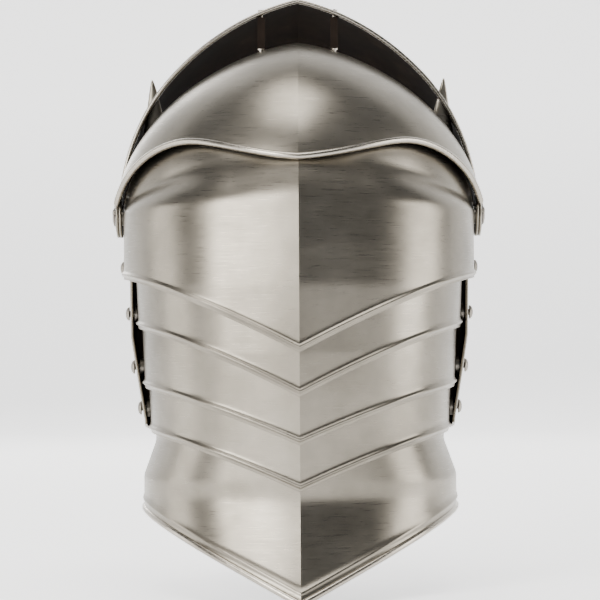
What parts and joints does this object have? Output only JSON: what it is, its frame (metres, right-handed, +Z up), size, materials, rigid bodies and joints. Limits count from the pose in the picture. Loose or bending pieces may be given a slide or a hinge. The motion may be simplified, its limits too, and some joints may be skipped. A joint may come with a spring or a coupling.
{
  "type": "knight helmet",
  "caption": "Steel close helmet with keeled skull, raised pivoting visor, fixed bevor and an articulated tail of overlapping neck plates over a padded lining.",
  "frame": {"origin": "middle of the visor's pivot axis, between the wearer's temples", "axes": "+Z up, the face looks along -Y, the wearer's left is +X; shown with the visor raised"},
  "size_m": [0.2456, 0.2304, 0.3835],
  "materials": {
    "polished_steel": "satin, finely brushed",
    "rivet_steel": "satin",
    "quilted_linen": "matt, quilted",
    "strap_leather": "matt",
    "buckle_brass": "satin"
  },
  "bodies": {
    "helmet": {"skull": "polished_steel", "bevor": "polished_steel", "pivot_bolts": "rivet_steel", "pivot_nuts": "rivet_steel", "pivot_washers": "rivet_steel", "cheek_rivets": "rivet_steel", "strap_rivets": "rivet_steel", "lame_rivets_1": "rivet_steel", "lame_rivets_2": "rivet_steel", "lame_rivets_3": "rivet_steel", "lame_spacers": "rivet_steel", "liner": "quilted_linen", "liner_band": "strap_leather", "strap_left": "strap_leather", "strap_right": "strap_leather", "buckle_frame": "buckle_brass"},
    "visor": {"face_plate": "polished_steel", "brow_plate": "polished_steel", "arm_rivets": "rivet_steel", "sight_bridges": "rivet_steel", "bridge_rivets": "rivet_steel", "lifting_peg": "rivet_steel"},
    "lame_1": {"lame_1": "polished_steel"},
    "lame_2": {"lame_2": "polished_steel"},
    "lame_3": {"lame_3": "polished_steel"},
    "neck_plate": {"neck_plate": "polished_steel"},
    "buckle_tongue": {"buckle_tongue": "buckle_brass"}
  },
  "joints": [
    {"name": "visor_pivot", "type": "hinge", "parent": "helmet", "child": "visor", "pos_m": [0, 0, 0], "axis": [1, 0, 0], "range_deg": [-2, 98]},
    {"name": "lame_1_pivot", "type": "hinge", "parent": "helmet", "child": "lame_1", "pos_m": [0, 0, -0.064], "axis": [1, 0, 0], "range_deg": [-1, 3]},
    {"name": "lame_2_pivot", "type": "hinge", "parent": "helmet", "child": "lame_2", "pos_m": [0, 0, -0.099], "axis": [1, 0, 0], "range_deg": [-2, 6]},
    {"name": "lame_3_pivot", "type": "hinge", "parent": "helmet", "child": "lame_3", "pos_m": [0, 0, -0.126], "axis": [1, 0, 0], "range_deg": [-3, 9]},
    {"name": "neck_plate_pivot", "type": "hinge", "parent": "helmet", "child": "neck_plate", "pos_m": [0, 0, -0.126], "axis": [1, 0, 0], "range_deg": [-3.5, 10.5]},
    {"name": "tongue_pivot", "type": "hinge", "parent": "helmet", "child": "buckle_tongue", "pos_m": [0.0115, -0.04, -0.149], "axis": [0, 1, 0], "range_deg": [0, 40]}
  ],
  "couplings": [
    {"joint": "lame_2_pivot", "follows": "lame_1_pivot", "ratio": 2},
    {"joint": "lame_3_pivot", "follows": "lame_1_pivot", "ratio": 3},
    {"joint": "neck_plate_pivot", "follows": "lame_1_pivot", "ratio": 3.5}
  ]
}
